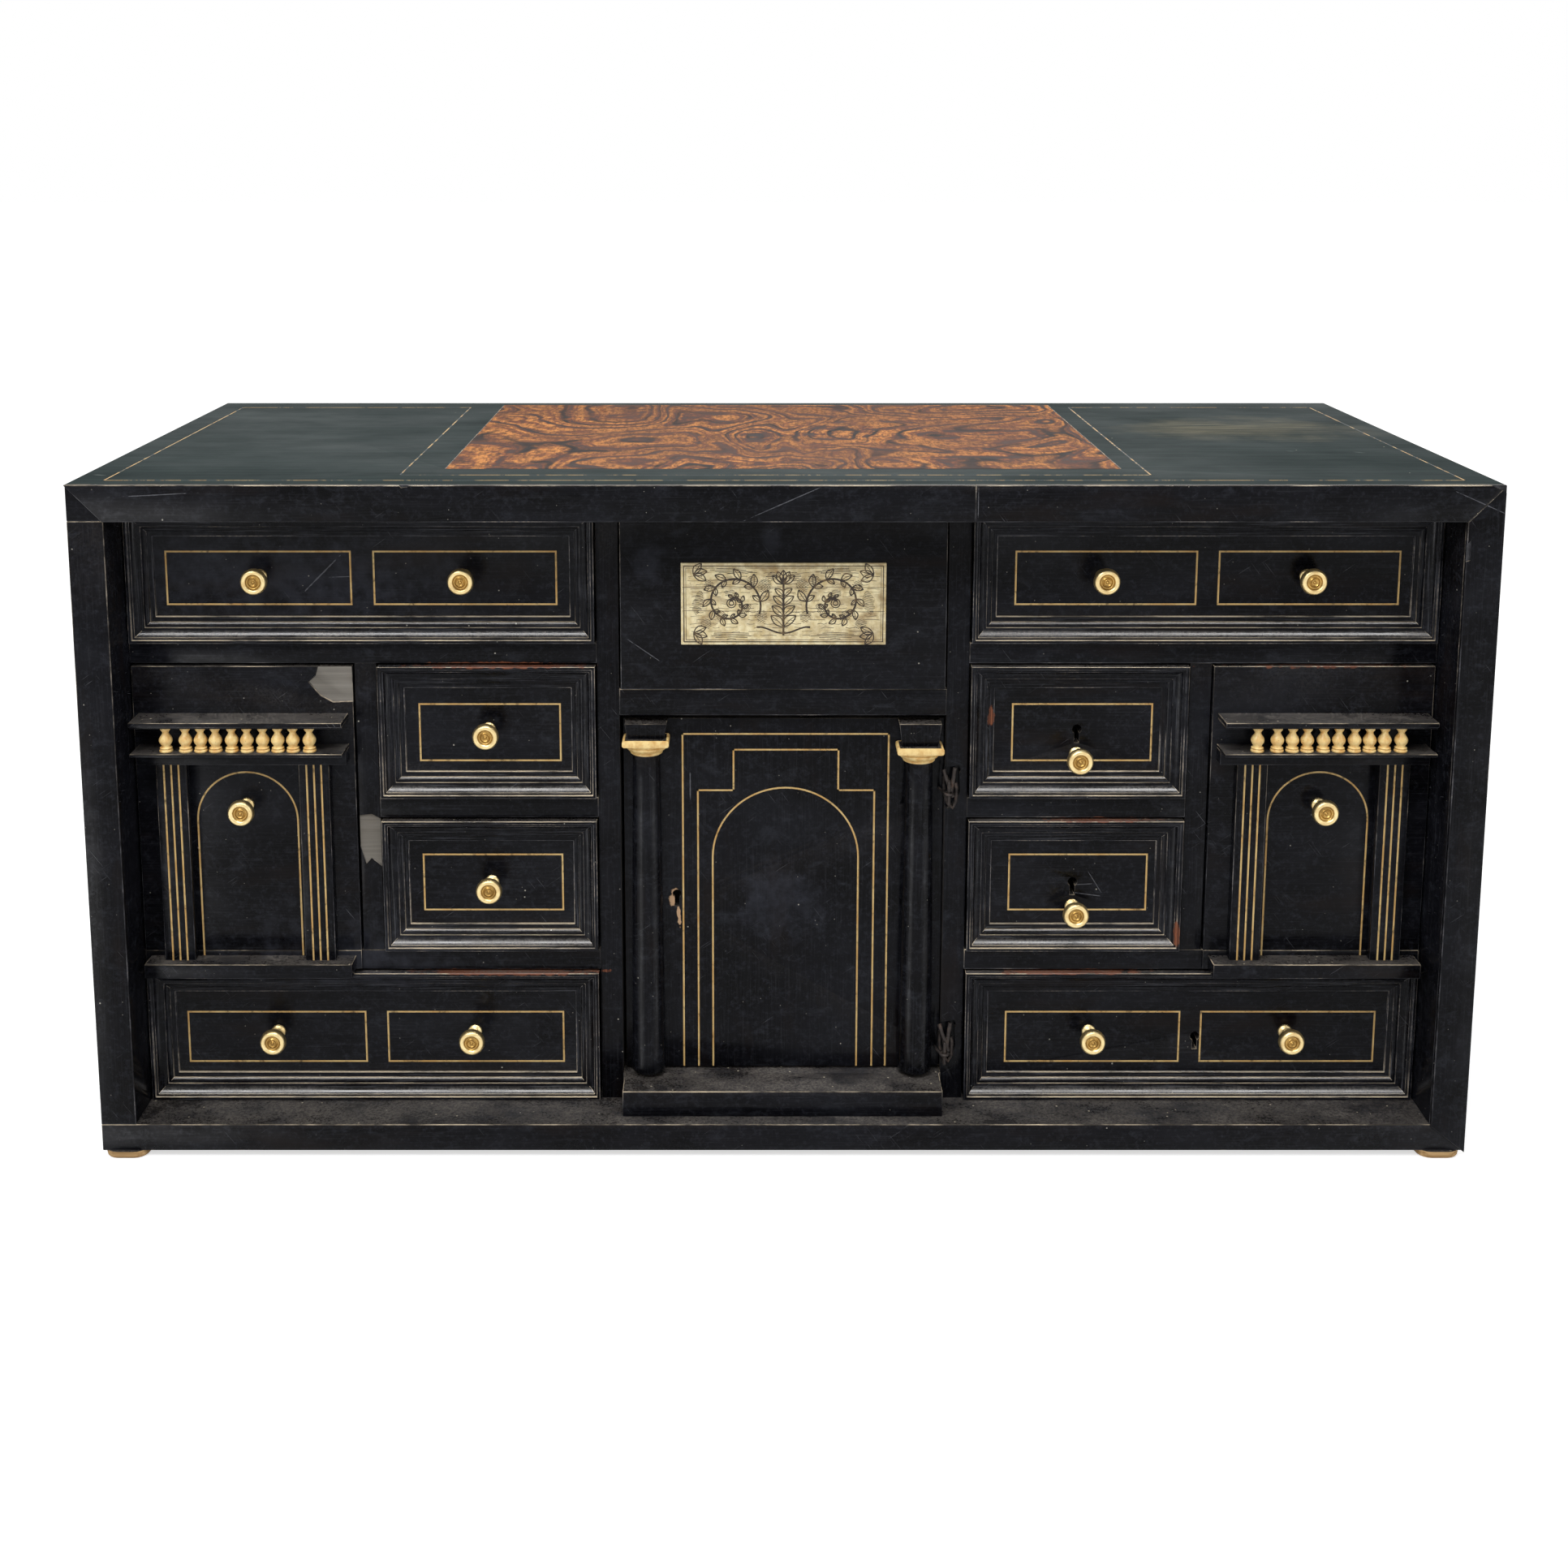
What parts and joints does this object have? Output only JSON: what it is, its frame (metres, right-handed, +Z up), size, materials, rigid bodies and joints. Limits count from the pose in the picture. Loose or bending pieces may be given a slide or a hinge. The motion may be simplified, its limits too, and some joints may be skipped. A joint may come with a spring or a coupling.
{
  "type": "table cabinet",
  "caption": "Low ebonised table cabinet with drawers round a small columned cupboard door and a burl panel on top.",
  "frame": {"origin": "middle of the bottom of the feet", "axes": "+Z up, +X to the right as seen from the front, the drawer fronts face -Y"},
  "size_m": [0.88, 0.37, 0.443],
  "materials": {
    "ebonised_wood": "worn satin",
    "burl_veneer": "satin",
    "bare_wood": "unfinished",
    "gilt_wood": "worn gilt",
    "bone": "polished bone",
    "brass": "turned",
    "iron": "rusted wrought iron"
  },
  "bodies": {
    "case": {"top_board": "ebonised_wood", "burl_panel": "burl_veneer", "bottom_board": "ebonised_wood", "left_side_board": "ebonised_wood", "right_side_board": "ebonised_wood", "back_planks": "bare_wood", "front_edge_facings": "ebonised_wood", "feet": "bare_wood", "dividers": "ebonised_wood", "shelves": "ebonised_wood", "cupboard_floor": "ebonised_wood", "hinge_staples": "iron"},
    "top_left_drawer": {"top_left_drawer_front": "ebonised_wood", "top_left_drawer_box": "bare_wood", "top_left_drawer_knobs": "brass"},
    "upper_left_drawer": {"upper_left_drawer_front": "ebonised_wood", "upper_left_drawer_box": "bare_wood", "upper_left_drawer_knobs": "brass"},
    "lower_left_drawer": {"lower_left_drawer_front": "ebonised_wood", "lower_left_drawer_box": "bare_wood", "lower_left_drawer_knobs": "brass"},
    "bottom_left_drawer": {"bottom_left_drawer_front": "ebonised_wood", "bottom_left_drawer_box": "bare_wood", "bottom_left_drawer_knobs": "brass"},
    "tall_left_drawer": {"tall_left_drawer_front": "ebonised_wood", "tall_left_drawer_box": "bare_wood", "tall_left_drawer_knob": "brass", "tall_left_drawer_balusters": "gilt_wood"},
    "top_right_drawer": {"top_right_drawer_front": "ebonised_wood", "top_right_drawer_box": "bare_wood", "top_right_drawer_knobs": "brass"},
    "upper_right_drawer": {"upper_right_drawer_front": "ebonised_wood", "upper_right_drawer_box": "bare_wood", "upper_right_drawer_knobs": "brass", "upper_right_lock_case": "iron"},
    "upper_right_bolt": {"upper_right_lock_bolt": "iron"},
    "lower_right_drawer": {"lower_right_drawer_front": "ebonised_wood", "lower_right_drawer_box": "bare_wood", "lower_right_drawer_knobs": "brass", "lower_right_lock_case": "iron"},
    "lower_right_bolt": {"lower_right_lock_bolt": "iron"},
    "bottom_right_drawer": {"bottom_right_drawer_front": "ebonised_wood", "bottom_right_drawer_box": "bare_wood", "bottom_right_drawer_knobs": "brass", "bottom_right_lock_case": "iron"},
    "bottom_right_bolt": {"bottom_right_lock_bolt": "iron"},
    "tall_right_drawer": {"tall_right_drawer_front": "ebonised_wood", "tall_right_drawer_box": "bare_wood", "tall_right_drawer_knob": "brass", "tall_right_drawer_balusters": "gilt_wood"},
    "centre_drawer": {"centre_drawer_front": "ebonised_wood", "centre_drawer_box": "bare_wood", "centre_drawer_plaque": "bone"},
    "door": {"door_panel": "ebonised_wood", "door_columns": "ebonised_wood", "door_capitals": "gilt_wood", "door_hinge_eyes": "iron", "door_lock_case": "iron"},
    "door_bolt": {"door_lock_bolt": "iron"}
  },
  "joints": [
    {"name": "top_left_slide", "type": "slide", "parent": "case", "child": "top_left_drawer", "axis": [0, -1, 0], "range_m": [0, 0.24]},
    {"name": "upper_left_slide", "type": "slide", "parent": "case", "child": "upper_left_drawer", "axis": [0, -1, 0], "range_m": [0, 0.24]},
    {"name": "lower_left_slide", "type": "slide", "parent": "case", "child": "lower_left_drawer", "axis": [0, -1, 0], "range_m": [0, 0.24]},
    {"name": "bottom_left_slide", "type": "slide", "parent": "case", "child": "bottom_left_drawer", "axis": [0, -1, 0], "range_m": [0, 0.24]},
    {"name": "tall_left_slide", "type": "slide", "parent": "case", "child": "tall_left_drawer", "axis": [0, -1, 0], "range_m": [0, 0.24]},
    {"name": "top_right_slide", "type": "slide", "parent": "case", "child": "top_right_drawer", "axis": [0, -1, 0], "range_m": [0, 0.24]},
    {"name": "upper_right_slide", "type": "slide", "parent": "case", "child": "upper_right_drawer", "axis": [0, -1, 0], "range_m": [0, 0.24]},
    {"name": "throw_upper_right_bolt", "type": "slide", "parent": "upper_right_drawer", "child": "upper_right_bolt", "axis": [0, 0, 1], "range_m": [0, 0.007]},
    {"name": "lower_right_slide", "type": "slide", "parent": "case", "child": "lower_right_drawer", "axis": [0, -1, 0], "range_m": [0, 0.24]},
    {"name": "throw_lower_right_bolt", "type": "slide", "parent": "lower_right_drawer", "child": "lower_right_bolt", "axis": [0, 0, 1], "range_m": [0, 0.007]},
    {"name": "bottom_right_slide", "type": "slide", "parent": "case", "child": "bottom_right_drawer", "axis": [0, -1, 0], "range_m": [0, 0.24]},
    {"name": "throw_bottom_right_bolt", "type": "slide", "parent": "bottom_right_drawer", "child": "bottom_right_bolt", "axis": [0, 0, 1], "range_m": [0, 0.007]},
    {"name": "tall_right_slide", "type": "slide", "parent": "case", "child": "tall_right_drawer", "axis": [0, -1, 0], "range_m": [0, 0.24]},
    {"name": "centre_slide", "type": "slide", "parent": "case", "child": "centre_drawer", "axis": [0, -1, 0], "range_m": [0, 0.24]},
    {"name": "door_swing", "type": "hinge", "parent": "case", "child": "door", "pos_m": [0.107, -0.151, 0.0404], "axis": [0, 0, 1], "range_deg": [0, 90]},
    {"name": "throw_door_bolt", "type": "slide", "parent": "door", "child": "door_bolt", "axis": [-1, 0, 0], "range_m": [0, 0.007]}
  ]
}
